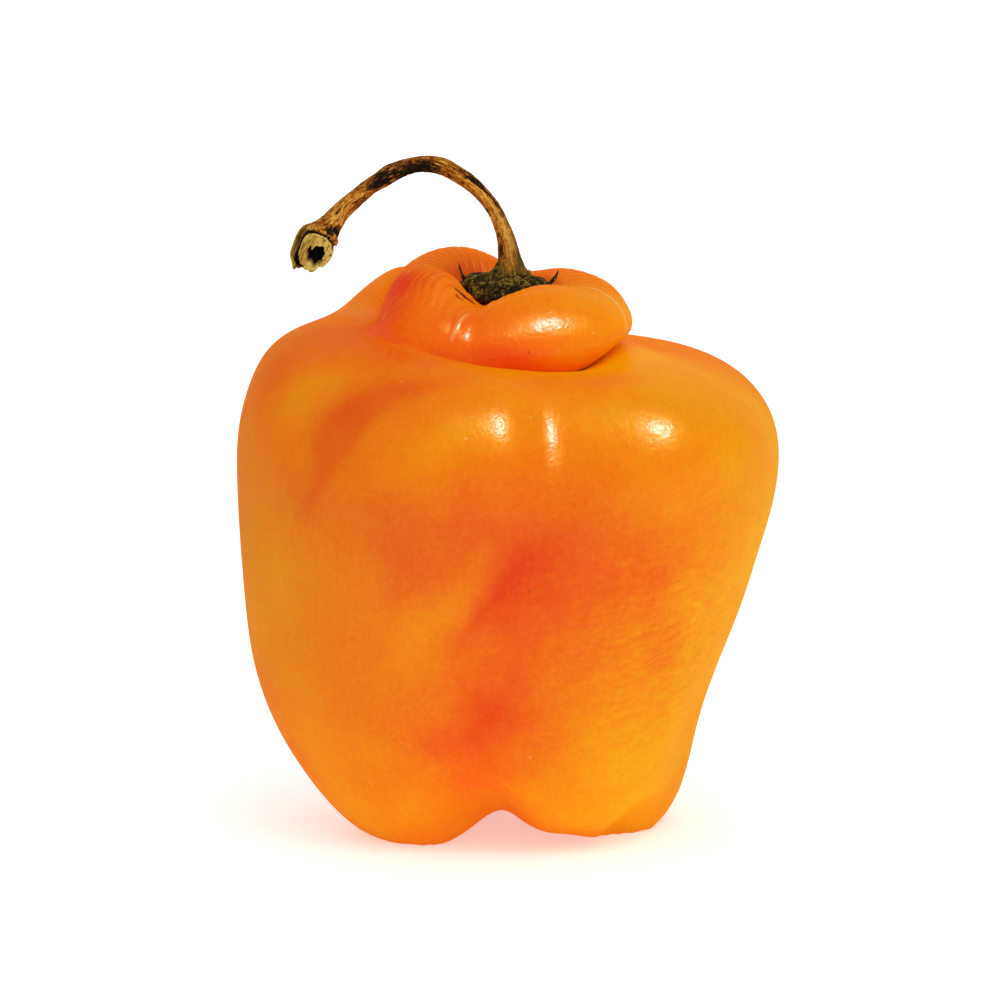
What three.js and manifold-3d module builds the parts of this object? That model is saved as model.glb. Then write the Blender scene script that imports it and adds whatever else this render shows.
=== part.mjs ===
// Manzano pepper: a blocky orange fruit standing on its foot lobes, with a rolled crown round the
// stem, a green calyx seated in the crown's dish, and a dry stem that arches over to its torn end.
// Millimetres, +Z up, standing on Z = 0. The fruit's front looks along -Y.
// Azimuths are in degrees, anticlockwise from +X as seen from above, so 270 is the front.
import * as THREE from 'three';
import { mergeVertices } from 'three/addons/utils/BufferGeometryUtils.js';
import Module from 'manifold-3d';

// The fruit's skin runs over these rings, from the hollow underneath, round the belly and the
// crown, and down to the floor of the dish. The skin is a smooth spline that the rings pull on.
// Each ring: radius, height, shift along X, shift along Y, lift towards the back per mm of radius.
const FRUIT_RINGS = [
  [0.0, 7.0, 1.0, 1.0, 0.0],
  [5.5, 5.8, 1.0, 1.0, 0.0],
  [10.5, 0.8, 0.6, 1.0, 0.0],
  [15.6, -2.0, 0.2, 0.6, 0.0],
  [21.2, 2.6, -0.6, 0.6, 0.0],
  [25.2, 10.6, -2.0, 0.4, 0.01],
  [27.9, 20.0, -2.4, 0.2, 0.02],
  [29.5, 30.0, -1.4, 0.0, 0.04],
  [31.0, 39.0, -0.3, 0.0, 0.06],
  [31.4, 47.5, 0.3, 0.0, 0.07],
  [28.4, 54.6, 0.1, 0.0, 0.08],
  [21.5, 57.4, 0.0, 0.0, 0.09],
  [15.8, 56.6, 0.0, 0.0, 0.09],
  [12.0, 56.8, 0.0, 0.0, 0.09],
  [14.2, 58.6, 0.0, 0.0, 0.08],
  [14.0, 62.4, 0.0, 0.0, 0.06],
  [10.8, 64.8, 0.0, 0.0, 0.04],
  [7.6, 64.2, 0.0, 0.0, 0.04],
  [6.4, 61.6, 0.0, 0.0, 0.03],
  [3.8, 60.6, 0.0, 0.0, 0.02],
  [0.0, 60.6, 0.0, 0.0, 0.0],
];

// Each swell or dip of the skin: azimuth, spread in degrees, ring, reach in rings,
// how far it pushes outward, how far it lifts.
const FRUIT_SWELLS = {
  frontValleyFoot: [263, 13, 3.3, 1.3, -2.2, 6.0],
  frontValleyLow: [267, 15, 5.2, 1.8, -2.0, 0],
  frontValleyWall: [279, 14, 8.0, 2.0, -1.0, 0],
  frontValleyShoulder: [288, 9, 10.1, 1.3, -2.4, -1.8],
  rightValleyFoot: [325, 9, 3.3, 1.0, -1.6, 2.6],
  rightValleyLow: [344, 11, 4.9, 1.2, -1.9, 0.6],
  rightValleyShoulder: [352, 14, 10.3, 1.3, -1.0, -1.2],
  backValleyFoot: [62, 14, 3.2, 1.3, -2.0, 3.8],
  backValleyLow: [64, 15, 5.5, 1.8, -2.8, 0],
  backValleyWall: [66, 15, 8.2, 2.0, -1.8, 0],
  backValleyShoulder: [66, 14, 10.3, 1.3, -1.8, -1.5],
  leftValleyFoot: [158, 14, 3.2, 1.3, -2.0, 3.8],
  leftValleyLow: [156, 15, 5.5, 1.8, -2.8, 0],
  leftValleyWall: [154, 15, 8.2, 2.0, -1.5, 0],
  leftValleyShoulder: [152, 13, 10.3, 1.3, -1.5, -1.2],
  diagonalShoulderDip: [232, 12, 10.4, 1.3, -0.9, -0.9],
  nearRightLobeCrest: [311, 15, 9.3, 1.6, 1.6, 0.3],
  nearRightLobeShort: [296, 15, 3.2, 1.0, 0, 2.2],
  rightLobePinch: [10, 25, 5.3, 1.2, -1.2, 0],
  rightLobeFoot: [328, 11, 2.6, 0.8, 0, -1.8],
  rightShoulderLow: [22, 40, 10.6, 1.6, 0, -3.4],
  leftShoulder: [190, 34, 10.0, 1.5, 0.8, 1.4],
  backLeftBump: [138, 16, 11.3, 1.1, 0.4, 3.8],
  crownCushion: [300, 30, 15.0, 1.8, 0.8, 0.6],
  crownChin: [303, 20, 13.2, 1.2, 0.8, -2.0],
  crownLeftLobe: [200, 32, 15.5, 1.8, 0.2, 1.0],
  crownLeftCrease: [212, 42, 12.7, 1.1, 2.6, 1.4],
  crownBackRim: [118, 34, 15.5, 1.6, 0.2, 1.2],
  crownBackRightRim: [55, 24, 15.5, 1.6, 0, -0.6],
  crownRightEnd: [0, 26, 15.3, 1.8, 0.4, -1.6],
  crownNotch: [250, 11, 16.2, 1.6, -0.6, -3.0],
};
const FRUIT_FACETS = { around: 68, rows: 50 };

// The calyx: a thick cap in the dish, with a short neck that the stem grows out of.
const CALYX_RINGS = [
  [0.0, 61.1, 0, 0, 0],
  [2.4, 61.1, 0, 0, 0],
  [4.2, 61.6, 0, 0, 0],
  [5.5, 62.4, 0, 0, 0],
  [5.3, 63.3, 0, 0, 0],
  [3.9, 63.9, 0, 0, 0],
  [2.5, 64.0, 0, 0, 0],
  [1.7, 64.5, 0, 0, 0],
  [1.5, 65.2, 0, 0, 0],
  [0.7, 65.1, 0, 0, 0],
  [0.0, 65.1, 0, 0, 0],
];
const CALYX_SWELLS = {
  frontLeftDroop: [246, 24, 3.6, 1.6, 0.5, -0.9],
  leftBulge: [190, 34, 4.4, 1.2, 0.0, 0.5],
  rightThin: [0, 40, 4.6, 1.4, -0.1, -0.5],
  frontRightShort: [300, 26, 3.6, 1.6, -0.6, 0],
};
const CALYX_FACETS = { around: 36, rows: 22 };

// The calyx teeth: azimuth, length, and how far each tip leans outward.
const TEETH = [
  [4, 2.3, 1.3],
  [78, 1.8, 1.0],
  [146, 1.9, 0.9],
  [178, 3.0, 1.3],
  [206, 1.7, 1.4],
];
const TOOTH_RADIUS = 0.42;
const TOOTH_ROOT = { reach: 4.5, height: 62.8 };
const TOOTH_SIDES = 8;

// The stem's line, from its seat on the calyx neck, over the arch, to its torn end.
const STEM_ROUTE = [
  [0.1, 0, 65.6],
  [-0.3, 0, 68.2],
  [-1.6, -0.3, 72.2],
  [-4.5, -1.1, 75.4],
  [-7.9, -2.2, 76.8],
  [-11.4, -3.5, 76.6],
  [-15.0, -4.8, 75.0],
  [-18.3, -6.1, 72.5],
  [-20.6, -7.2, 70.3],
  [-21.8, -8.6, 69.1],
  [-22.8, -10.4, 68.0],
];
// Stem radius against the share of the way along it, up to the collar.
const STEM_GIRTH = [
  [0.0, 1.42],
  [0.05, 1.2],
  [0.12, 0.96],
  [0.2, 0.8],
  [0.3, 0.74],
  [0.45, 0.86],
  [0.58, 0.9],
  [0.68, 0.86],
  [0.8, 1.05],
  [0.88, 1.3],
];
// The torn end: distance back from the tip and radius, over the collar, the cup and its hollow.
const STEM_END = [
  [3.0, 1.6],
  [2.6, 2.15],
  [2.1, 2.2],
  [1.8, 1.85],
  [1.3, 2.0],
  [0.5, 2.2],
  [0.0, 2.05],
  [0.1, 1.5],
  [0.6, 1.15],
  [1.9, 0.8],
  [2.2, 0],
];
const STEM_SIDES = 20;
const STEM_STEPS = 34;
// The torn rim leans back on the side that faces the front, and its edge is ragged.
const RIM = { start: 1.8, lean: 0.7, raggedness: 0.16, points: 5 };
// A flake of bark that curls off the cup: its angle round the stem, half width, radii and ends.
const FLAKE = { angle: 172, halfWidth: 52, inner: 1.95, outer: 2.4, curl: 0.5, back: 2.3, front: -0.5 };

const SKIN_ORANGE = 0xee7a1e;
const CALYX_GREEN = 0x3d4020;
const STEM_BROWN = 0x8a5a2a;

// Cubic B-spline weights of the four rings round a place on the skin.
function splineWeights(t) {
  return [
    (1 - t) ** 3 / 6,
    (3 * t ** 3 - 6 * t ** 2 + 4) / 6,
    (-3 * t ** 3 + 3 * t ** 2 + 3 * t + 1) / 6,
    t ** 3 / 6,
  ];
}

// A ring past either pole is the mirror of the one before it, on the other side of the axis.
function ringPoint(rings, index, azimuth) {
  const last = rings.length - 1;
  let inside = index;
  if (index < 0) inside = -index;
  if (index > last) inside = 2 * last - index;
  const angle = inside === index ? azimuth : azimuth + Math.PI;
  const [radius, height, shiftX, shiftY, lift] = rings[inside];
  const x = radius * Math.cos(angle);
  const y = radius * Math.sin(angle);
  return new THREE.Vector3(shiftX + x, shiftY + y, height + lift * y);
}

// A point of a grown skin, with its rings' spline first and its swells on top.
function skinPoint(rings, swells, azimuth, ring) {
  const first = Math.min(Math.floor(ring), rings.length - 2);
  const point = new THREE.Vector3();
  splineWeights(ring - first).forEach((weight, step) => {
    point.addScaledVector(ringPoint(rings, first + step - 1, azimuth), weight);
  });
  for (const [centre, spread, at, reach, outward, upward] of Object.values(swells)) {
    const turn = azimuth - THREE.MathUtils.degToRad(centre);
    const across = (Math.cos(turn) - 1) / THREE.MathUtils.degToRad(spread) ** 2;
    const along = ((ring - at) / reach) ** 2;
    const share = Math.exp(across - along);
    point.x += outward * share * Math.cos(azimuth);
    point.y += outward * share * Math.sin(azimuth);
    point.z += upward * share;
  }
  return point;
}

// A sphere's net drawn over a grown skin, pole to pole, kept on or above the ground.
function grownGeometry(rings, swells, { around, rows }) {
  const geometry = new THREE.SphereGeometry(1, around, rows);
  const position = geometry.attributes.position;
  for (let row = 0; row <= rows; row += 1) {
    const atPole = row === 0 || row === rows;
    const ring = (rings.length - 1) * (1 - row / rows);
    for (let step = 0; step <= around; step += 1) {
      const azimuth = atPole ? 0 : (2 * Math.PI * step) / around;
      const point = skinPoint(rings, swells, azimuth, ring);
      position.setXYZ(row * (around + 1) + step, point.x, point.y, Math.max(point.z, 0));
    }
  }
  return geometry;
}

// Carries a shape made along the Y axis onto a curve, with its Y as the distance along it.
function bendAlong(geometry, curve) {
  const length = curve.getLength();
  const position = geometry.attributes.position;
  const acrossArch = new THREE.Vector3(0, 1, 0);
  for (let i = 0; i < position.count; i += 1) {
    const share = position.getY(i) / length;
    const inside = THREE.MathUtils.clamp(share, 0, 1);
    const tangent = curve.getTangentAt(inside);
    const side = new THREE.Vector3().crossVectors(acrossArch, tangent).normalize();
    const front = new THREE.Vector3().crossVectors(side, tangent);
    const point = curve.getPointAt(inside);
    point.addScaledVector(tangent, (share - inside) * length);
    point.addScaledVector(side, position.getX(i));
    point.addScaledVector(front, position.getZ(i));
    position.setXYZ(i, point.x, point.y, point.z);
  }
  return geometry;
}

const wasm = await Module();
wasm.setup();

function toSolid(geometry) {
  const bare = new THREE.BufferGeometry();
  bare.setAttribute('position', geometry.attributes.position.clone());
  bare.setIndex(geometry.index.clone());
  const merged = mergeVertices(bare, 1e-4);
  return new wasm.Manifold(
    new wasm.Mesh({
      numProp: 3,
      vertProperties: new Float32Array(merged.attributes.position.array),
      triVerts: new Uint32Array(merged.index.array),
    })
  );
}

function toGeometry(solid) {
  const mesh = solid.getMesh();
  const geometry = new THREE.BufferGeometry();
  geometry.setAttribute('position', new THREE.BufferAttribute(mesh.vertProperties, 3));
  geometry.setIndex(new THREE.BufferAttribute(mesh.triVerts, 1));
  geometry.computeVertexNormals();
  return geometry;
}

function namedMesh(name, geometry, color, roughness) {
  const material = new THREE.MeshStandardMaterial({ color, roughness, metalness: 0 });
  const mesh = new THREE.Mesh(geometry, material);
  mesh.name = name;
  return mesh;
}

// One tooth of the calyx: a thin thorn that stands up off the cap's edge and hooks outward.
function toothGeometry([degrees, length, lean]) {
  const azimuth = THREE.MathUtils.degToRad(degrees);
  const outward = new THREE.Vector3(Math.cos(azimuth), Math.sin(azimuth), 0);
  const root = outward.clone().multiplyScalar(TOOTH_ROOT.reach).setZ(TOOTH_ROOT.height);
  const tip = root.clone().addScaledVector(outward, lean);
  tip.z += length * 0.85;
  const elbow = root.clone().addScaledVector(outward, lean * 0.85);
  elbow.z += length * 0.35;
  const curve = new THREE.QuadraticBezierCurve3(root, elbow, tip);
  const profile = [
    new THREE.Vector2(0, 0),
    new THREE.Vector2(TOOTH_RADIUS, 0),
    new THREE.Vector2(TOOTH_RADIUS * 0.8, length * 0.35),
    new THREE.Vector2(TOOTH_RADIUS * 0.45, length * 0.75),
    new THREE.Vector2(0, length),
  ];
  const thorn = mergeVertices(new THREE.LatheGeometry(profile, TOOTH_SIDES));
  return bendThorn(thorn, curve, length);
}

// The thorn's own length is scaled to its curve, so its tip ends where the curve does.
function bendThorn(thorn, curve, length) {
  thorn.scale(1, curve.getLength() / length, 1);
  return bendAlong(thorn, curve);
}

function makeCalyx() {
  const cap = toSolid(grownGeometry(CALYX_RINGS, CALYX_SWELLS, CALYX_FACETS));
  return TEETH.reduce((solid, tooth) => solid.add(toSolid(toothGeometry(tooth))), cap);
}

// The girth between the listed places is a smooth curve.
function stemProfile(length) {
  const girth = new THREE.SplineCurve(STEM_GIRTH.map(([share, radius]) => new THREE.Vector2(share, radius)));
  const shaft = girth.getPoints(STEM_STEPS).map(({ x, y }) => new THREE.Vector2(y, x * length));
  const end = STEM_END.map(([back, radius]) => new THREE.Vector2(radius, length - back));
  return [new THREE.Vector2(0, 0), ...shaft, ...end];
}

// Past the collar the stem is torn: its rim leans back at the front, and its edge is ragged.
function tearRim(geometry, length) {
  const position = geometry.attributes.position;
  for (let i = 0; i < position.count; i += 1) {
    const radius = Math.hypot(position.getX(i), position.getZ(i));
    const angle = Math.atan2(position.getZ(i), position.getX(i));
    const back = length - position.getY(i);
    const torn = Math.max(0, 1 - back / RIM.start) * Math.min(1, radius);
    const edge = RIM.lean * Math.sin(angle) + RIM.raggedness * Math.sin(RIM.points * angle);
    position.setY(i, position.getY(i) - torn * edge);
  }
  return geometry;
}

// The bark flake: a block curved round the stem, rooted in the collar and curling off the cup.
function flakeGeometry(length) {
  const block = new THREE.BoxGeometry(2, 1, 1, 8, 1, 4);
  const position = block.attributes.position;
  for (let i = 0; i < position.count; i += 1) {
    const turn = FLAKE.angle + FLAKE.halfWidth * position.getX(i);
    const angle = THREE.MathUtils.degToRad(turn);
    const forward = position.getZ(i) + 0.5;
    const outer = position.getY(i) > 0;
    const wall = outer ? FLAKE.outer : FLAKE.inner;
    const radius = wall + FLAKE.curl * forward ** 2;
    const narrow = 1 - 0.35 * Math.abs(position.getX(i)) ** 2;
    const along = length - FLAKE.back + forward * (FLAKE.back - FLAKE.front) * narrow;
    position.setXYZ(i, radius * Math.cos(angle), along, radius * Math.sin(angle));
  }
  return block;
}

function makeStem() {
  const curve = new THREE.CatmullRomCurve3(STEM_ROUTE.map((place) => new THREE.Vector3(...place)));
  const length = curve.getLength();
  const turned = mergeVertices(new THREE.LatheGeometry(stemProfile(length), STEM_SIDES));
  const shaft = toSolid(bendAlong(tearRim(turned, length), curve));
  const flake = toSolid(bendAlong(flakeGeometry(length), curve));
  return shaft.add(flake);
}

const pepper = new THREE.Group();
pepper.add(namedMesh('fruit', grownGeometry(FRUIT_RINGS, FRUIT_SWELLS, FRUIT_FACETS), SKIN_ORANGE, 0.25));
pepper.add(namedMesh('calyx', toGeometry(makeCalyx()), CALYX_GREEN, 0.7));
pepper.add(namedMesh('stem', toGeometry(makeStem()), STEM_BROWN, 0.75));

export default pepper;
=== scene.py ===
import math

import bpy
import numpy as np
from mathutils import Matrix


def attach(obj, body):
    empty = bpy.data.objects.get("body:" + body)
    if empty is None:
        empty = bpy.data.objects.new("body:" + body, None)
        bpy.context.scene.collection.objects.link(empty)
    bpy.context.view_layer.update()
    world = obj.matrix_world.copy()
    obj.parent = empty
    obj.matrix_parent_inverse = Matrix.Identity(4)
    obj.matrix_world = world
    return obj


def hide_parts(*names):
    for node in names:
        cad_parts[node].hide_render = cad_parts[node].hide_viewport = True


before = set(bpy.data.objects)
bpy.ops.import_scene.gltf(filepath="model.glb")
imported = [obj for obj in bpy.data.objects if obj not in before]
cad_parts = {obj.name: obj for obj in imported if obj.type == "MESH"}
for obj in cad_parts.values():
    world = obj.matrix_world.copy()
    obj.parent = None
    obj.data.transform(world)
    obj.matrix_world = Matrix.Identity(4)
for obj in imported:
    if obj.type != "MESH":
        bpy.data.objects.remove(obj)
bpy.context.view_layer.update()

# The fruit: thick flesh under a waxy skin, grown in one piece with its crown, dish and foot lobes.
# Its skin is a smooth spline over the rings below, pushed out or in wherever the fruit bulges or folds.
# Millimetres. Azimuths are in degrees, anticlockwise from +X as seen from above, so 270 is the front.
MM = 0.001
# Each ring: radius, height, shift along X, shift along Y, lift towards the back per mm of radius.
FRUIT_RINGS = [
    (0.0, 7.0, 1.0, 1.0, 0.0),
    (5.5, 5.8, 1.0, 1.0, 0.0),
    (10.5, 0.8, 0.6, 1.0, 0.0),
    (15.6, -2.0, 0.2, 0.6, 0.0),
    (21.2, 2.6, -0.6, 0.6, 0.0),
    (25.2, 10.6, -2.0, 0.4, 0.01),
    (27.9, 20.0, -2.4, 0.2, 0.02),
    (29.5, 30.0, -1.4, 0.0, 0.04),
    (31.0, 39.0, -0.3, 0.0, 0.06),
    (31.4, 47.5, 0.3, 0.0, 0.07),
    (28.4, 54.6, 0.1, 0.0, 0.08),
    (21.5, 57.4, 0.0, 0.0, 0.09),
    (15.8, 56.6, 0.0, 0.0, 0.09),
    (12.0, 56.8, 0.0, 0.0, 0.09),
    (14.2, 58.6, 0.0, 0.0, 0.08),
    (14.0, 62.4, 0.0, 0.0, 0.06),
    (10.8, 64.8, 0.0, 0.0, 0.04),
    (7.6, 64.2, 0.0, 0.0, 0.04),
    (6.4, 61.6, 0.0, 0.0, 0.03),
    (3.8, 60.6, 0.0, 0.0, 0.02),
    (0.0, 60.6, 0.0, 0.0, 0.0),
]
# Each swell or dip: azimuth, spread in degrees, ring, reach in rings, push outward, lift.
FRUIT_SWELLS = {
    "front valley foot": (263, 13, 3.3, 1.3, -2.2, 6.0),
    "front valley low": (267, 15, 5.2, 1.8, -2.0, 0),
    "front valley wall": (279, 14, 8.0, 2.0, -1.0, 0),
    "front valley shoulder": (278, 5, 9.8, 1.4, -1.4, -0.4),
    "front valley right side": (285, 11, 9.9, 1.5, -1.6, -0.6),
    "front left lobe crest": (272.5, 7, 9.5, 1.6, 0.9, 0.4),
    "right valley foot": (325, 9, 3.3, 1.0, -1.6, 2.6),
    "right valley low": (344, 11, 4.9, 1.2, -1.9, 0.6),
    "right valley shoulder": (352, 14, 10.3, 1.3, -1.0, -1.2),
    "back valley foot": (62, 14, 3.2, 1.3, -2.0, 3.8),
    "back valley low": (64, 15, 5.5, 1.8, -2.8, 0),
    "back valley wall": (66, 15, 8.2, 2.0, -1.8, 0),
    "back valley shoulder": (66, 14, 10.3, 1.3, -1.8, -1.5),
    "left valley foot": (158, 14, 3.2, 1.3, -2.0, 3.8),
    "left valley low": (156, 15, 5.5, 1.8, -2.8, 0),
    "left valley wall": (154, 15, 8.2, 2.0, -1.5, 0),
    "left valley shoulder": (152, 13, 10.3, 1.3, -1.5, -1.2),
    "diagonal shoulder dip": (232, 12, 10.4, 1.3, -0.9, -0.9),
    "near right lobe crest": (315, 16, 9.0, 2.2, 3.0, 1.0),
    "near right lobe front": (301, 9, 9.1, 1.9, 2.0, 0.6),
    "near right lobe short": (296, 15, 3.2, 1.0, 0, 2.2),
    "right lobe pinch": (10, 25, 5.3, 1.2, -0.8, 0),
    "right lobe foot": (328, 11, 2.6, 0.8, 0, -1.8),
    "right shoulder low": (22, 40, 10.6, 1.6, 0, -2.7),
    "right shoulder far dip": (36, 18, 11.6, 0.75, 0, -1.8),
    "left shoulder": (190, 34, 10.0, 1.5, 0.8, 1.4),
    "left shoulder corner": (177, 20, 9.6, 0.75, -0.55, -0.1),
    "left shoulder back": (172, 12, 10.8, 0.7, 0, 0.35),
    "left foot narrow": (196, 30, 4.4, 1.0, -0.5, 0),
    "back left bump": (138, 16, 11.3, 1.1, 0.0, 3.0),
    "back left rise": (143, 15, 12.5, 1.0, 0.7, 4.1),
    "back rise": (112, 17, 12.1, 1.2, 0.4, 2.4),
    "crown cushion": (321, 25, 14.15, 1.45, 2.35, 0.45),
    "crown cushion left": (256, 15, 14.9, 1.2, -1.2, -0.1),
    "crown cushion top": (306, 34, 16.2, 1.3, -1.5, -0.1),
    "crown chin": (299, 17, 13.2, 1.2, 0.8, -2.0),
    "crown chin left": (250, 18, 13.25, 0.62, 0.0, -2.4),
    "crown chin right": (332, 18, 12.8, 1.1, 0, 1.0),
    "crown left lobe": (206, 30, 15.8, 1.7, -0.6, 0.9),
    "crown left crease": (210, 34, 12.7, 1.1, 2.6, 1.4),
    "crown left apron": (228, 26, 12.2, 1.6, 1.4, 1.1),
    "left lobe wall": (220, 22, 14.0, 0.9, 1.0, 0.4),
    "left lobe flank": (241, 8, 14.9, 1.2, 0.9, 0.2),
    "left crease fill": (220, 20, 13.0, 0.9, 1.6, 0.1),
    "left lobe foot": (250, 10, 12.2, 1.0, 0.1, 0.1),
    "valley fill": (264, 13, 14.0, 1.1, 0.8, 0),
    "crease left end": (256, 14, 12.6, 1.1, 0, -0.5),
    "crown back rim": (122, 30, 15.5, 1.6, 0.2, 1.6),
    "crown back step": (80, 16, 15.8, 1.6, 0, -1.9),
    "crown back right rim": (45, 24, 15.8, 1.6, 0, -0.2),
    "crown right end": (0, 30, 16.2, 1.6, -2.0, -1.9),
    "crown right end low": (348, 26, 13.6, 1.1, -0.5, -0.6),
    "crown right rim": (14, 22, 15.2, 1.0, 0.2, 0.75),
    "crown notch": (243, 10, 16.3, 1.4, -0.5, -2.8),
    "crown notch right side": (264, 15, 16.3, 1.4, -0.3, -1.4),
}
# The finer folds of the crown and shoulder, in the same terms.
FRUIT_FOLDS = {
    "crease under the cushion": (308, 25, 12.75, 0.4, -0.9, -0.2),
    "fold below the notch": (248, 1.7, 15.0, 0.75, 0.45, 0.2),
    "groove beside the fold": (252, 3.2, 14.9, 0.8, -0.35, -0.1),
    "slit left of the notch": (228, 2.2, 17.0, 0.6, -0.3, -0.7),
    "slit right of the notch": (262, 2.2, 17.0, 0.5, -0.3, -0.6),
}
SKIN_AROUND = 380
# How many rows of the skin's net lie between each of these rings and the next one named.
SKIN_ROWS = {0: 24, 4: 84, 10: 42, 13: 84, 19: 10, 20: 0}


def spline_weights(t):
    return (1 - t) ** 3 / 6, (3 * t**3 - 6 * t**2 + 4) / 6, (-3 * t**3 + 3 * t**2 + 3 * t + 1) / 6, t**3 / 6


def ring_points(rings, index, azimuth):
    """Points on whole rings. A ring past either pole is its mirror on the other side of the axis."""
    last = len(rings) - 1
    inside = np.where(index < 0, -index, np.where(index > last, 2 * last - index, index))
    angle = np.where(inside == index, azimuth, azimuth + math.pi)
    radius, height, shift_x, shift_y, lift = np.moveaxis(np.array(rings)[inside], -1, 0)
    x = radius * np.cos(angle)
    y = radius * np.sin(angle)
    return np.stack((shift_x + x, shift_y + y, height + lift * y), -1)


def share_at(azimuth, ring, centre, spread, at, reach):
    """How much of a swell, fold or patch of colour is felt at a place on the skin, from 0 to 1."""
    across = (np.cos(azimuth - math.radians(centre)) - 1) / math.radians(spread) ** 2
    return np.exp(across - ((ring - at) / reach) ** 2)


def grown_skin(rings, swells, azimuth, ring):
    first = np.minimum(np.floor(ring).astype(int), len(rings) - 2)
    points = 0
    for step, weight in enumerate(spline_weights(ring - first)):
        points = points + weight[..., None] * ring_points(rings, first + step - 1, azimuth)
    for centre, spread, at, reach, outward, lift in swells.values():
        share = share_at(azimuth, ring, centre, spread, at, reach)
        points[..., 0] += outward * share * np.cos(azimuth)
        points[..., 1] += outward * share * np.sin(azimuth)
        points[..., 2] += lift * share
    return points


def net_rows(row_counts):
    """Ring numbers of the rows of a net, with as many rows between the named rings as asked."""
    marks = list(row_counts)
    spans = [np.linspace(a, b, row_counts[a], endpoint=False) for a, b in zip(marks, marks[1:])]
    return np.concatenate([*spans, [marks[-1]]])


def rumple(points, size, seed, waves=12):
    """Smooth, seamless unevenness between about -1 and 1, with bumps of about the given size in mm."""
    random = np.random.default_rng(seed)
    directions = random.normal(size=(waves, 3))
    turns = random.uniform(0.6, 1.5, waves) * math.pi / size
    directions *= (turns / np.linalg.norm(directions, axis=1))[:, None]
    phases = random.uniform(0, 2 * math.pi, waves)
    return np.sin(points @ directions.T + phases).sum(-1) / 4.5


def closed_mesh(name, rows, attributes):
    """A closed body from rows of points that run round an axis. The first and last row are the poles."""
    count, around = rows.shape[:2]
    inner = rows[1:-1].reshape(-1, 3)
    places = np.vstack((inner, rows[0, :1], rows[-1, :1])) * MM
    bottom = len(inner)
    top = bottom + 1
    ahead = (np.arange(around) + 1) % around
    here = np.arange(around)
    faces = []
    for row in range(count - 3):
        low = row * around
        high = low + around
        faces += np.stack((low + here, low + ahead, high + ahead, high + here), 1).tolist()
    faces += [(bottom, b, a) for a, b in zip(here.tolist(), ahead.tolist())]
    rim = (count - 3) * around
    faces += [(top, rim + a, rim + b) for a, b in zip(here.tolist(), ahead.tolist())]
    mesh = bpy.data.meshes.new(name)
    mesh.from_pydata(places.tolist(), [], faces)
    for label, values in attributes.items():
        poles = [row[:1].reshape(1, -1) for row in (values[0], values[-1])]
        flat = np.concatenate((values[1:-1].reshape(len(inner), -1), *poles))
        kind = "FLOAT" if flat.shape[1] == 1 else "FLOAT_VECTOR"
        layer = mesh.attributes.new(label, kind, "POINT")
        layer.data.foreach_set("value" if kind == "FLOAT" else "vector", flat.astype(np.float32).ravel())
    mesh.shade_smooth()
    mesh.update()
    piece = bpy.data.objects.new(name, mesh)
    bpy.context.scene.collection.objects.link(piece)
    return piece


azimuths = np.linspace(0, 2 * math.pi, SKIN_AROUND, endpoint=False)
azimuth, ring = np.meshgrid(azimuths, net_rows(SKIN_ROWS))
skin = grown_skin(FRUIT_RINGS, FRUIT_SWELLS | FRUIT_FOLDS, azimuth, ring)

# Where the skin faces, for the fine relief that is laid on it.
along_net = np.gradient(skin, axis=0)
around_net = np.roll(skin, -1, axis=1) - np.roll(skin, 1, axis=1)
facing = np.cross(around_net, along_net)
facing /= np.maximum(np.linalg.norm(facing, axis=-1, keepdims=True), 1e-9)

# The rim of the crown is drawn in towards the stem, in fine creases that run over it, most at its
# left and right ends. Each end: azimuth, spread in degrees.
CROWN_RIM_RING = 16.3
CROWN_RIM_REACH = 1.5
CREASED_LEFT = (188, 38)
CREASED_RIGHT = (0, 26)
CREASES_ROUND_CROWN = 50
CREASE_WANDER = 1.7
CREASE_WIDTH = 0.42
CREASE_DEPTH = 0.18
crown_rim = np.exp(-(((ring - CROWN_RIM_RING) / CROWN_RIM_REACH) ** 2))
puckered = 0.10 + share_at(azimuth, 0, *CREASED_LEFT, 0, 1) + 0.8 * share_at(azimuth, 0, *CREASED_RIGHT, 0, 1)
crease_phase = CREASES_ROUND_CROWN / 2 * azimuth + CREASE_WANDER * rumple(skin, 4, 3)
creases = np.exp(-((np.sin(crease_phase) / CREASE_WIDTH) ** 2)) * crown_rim * puckered
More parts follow.
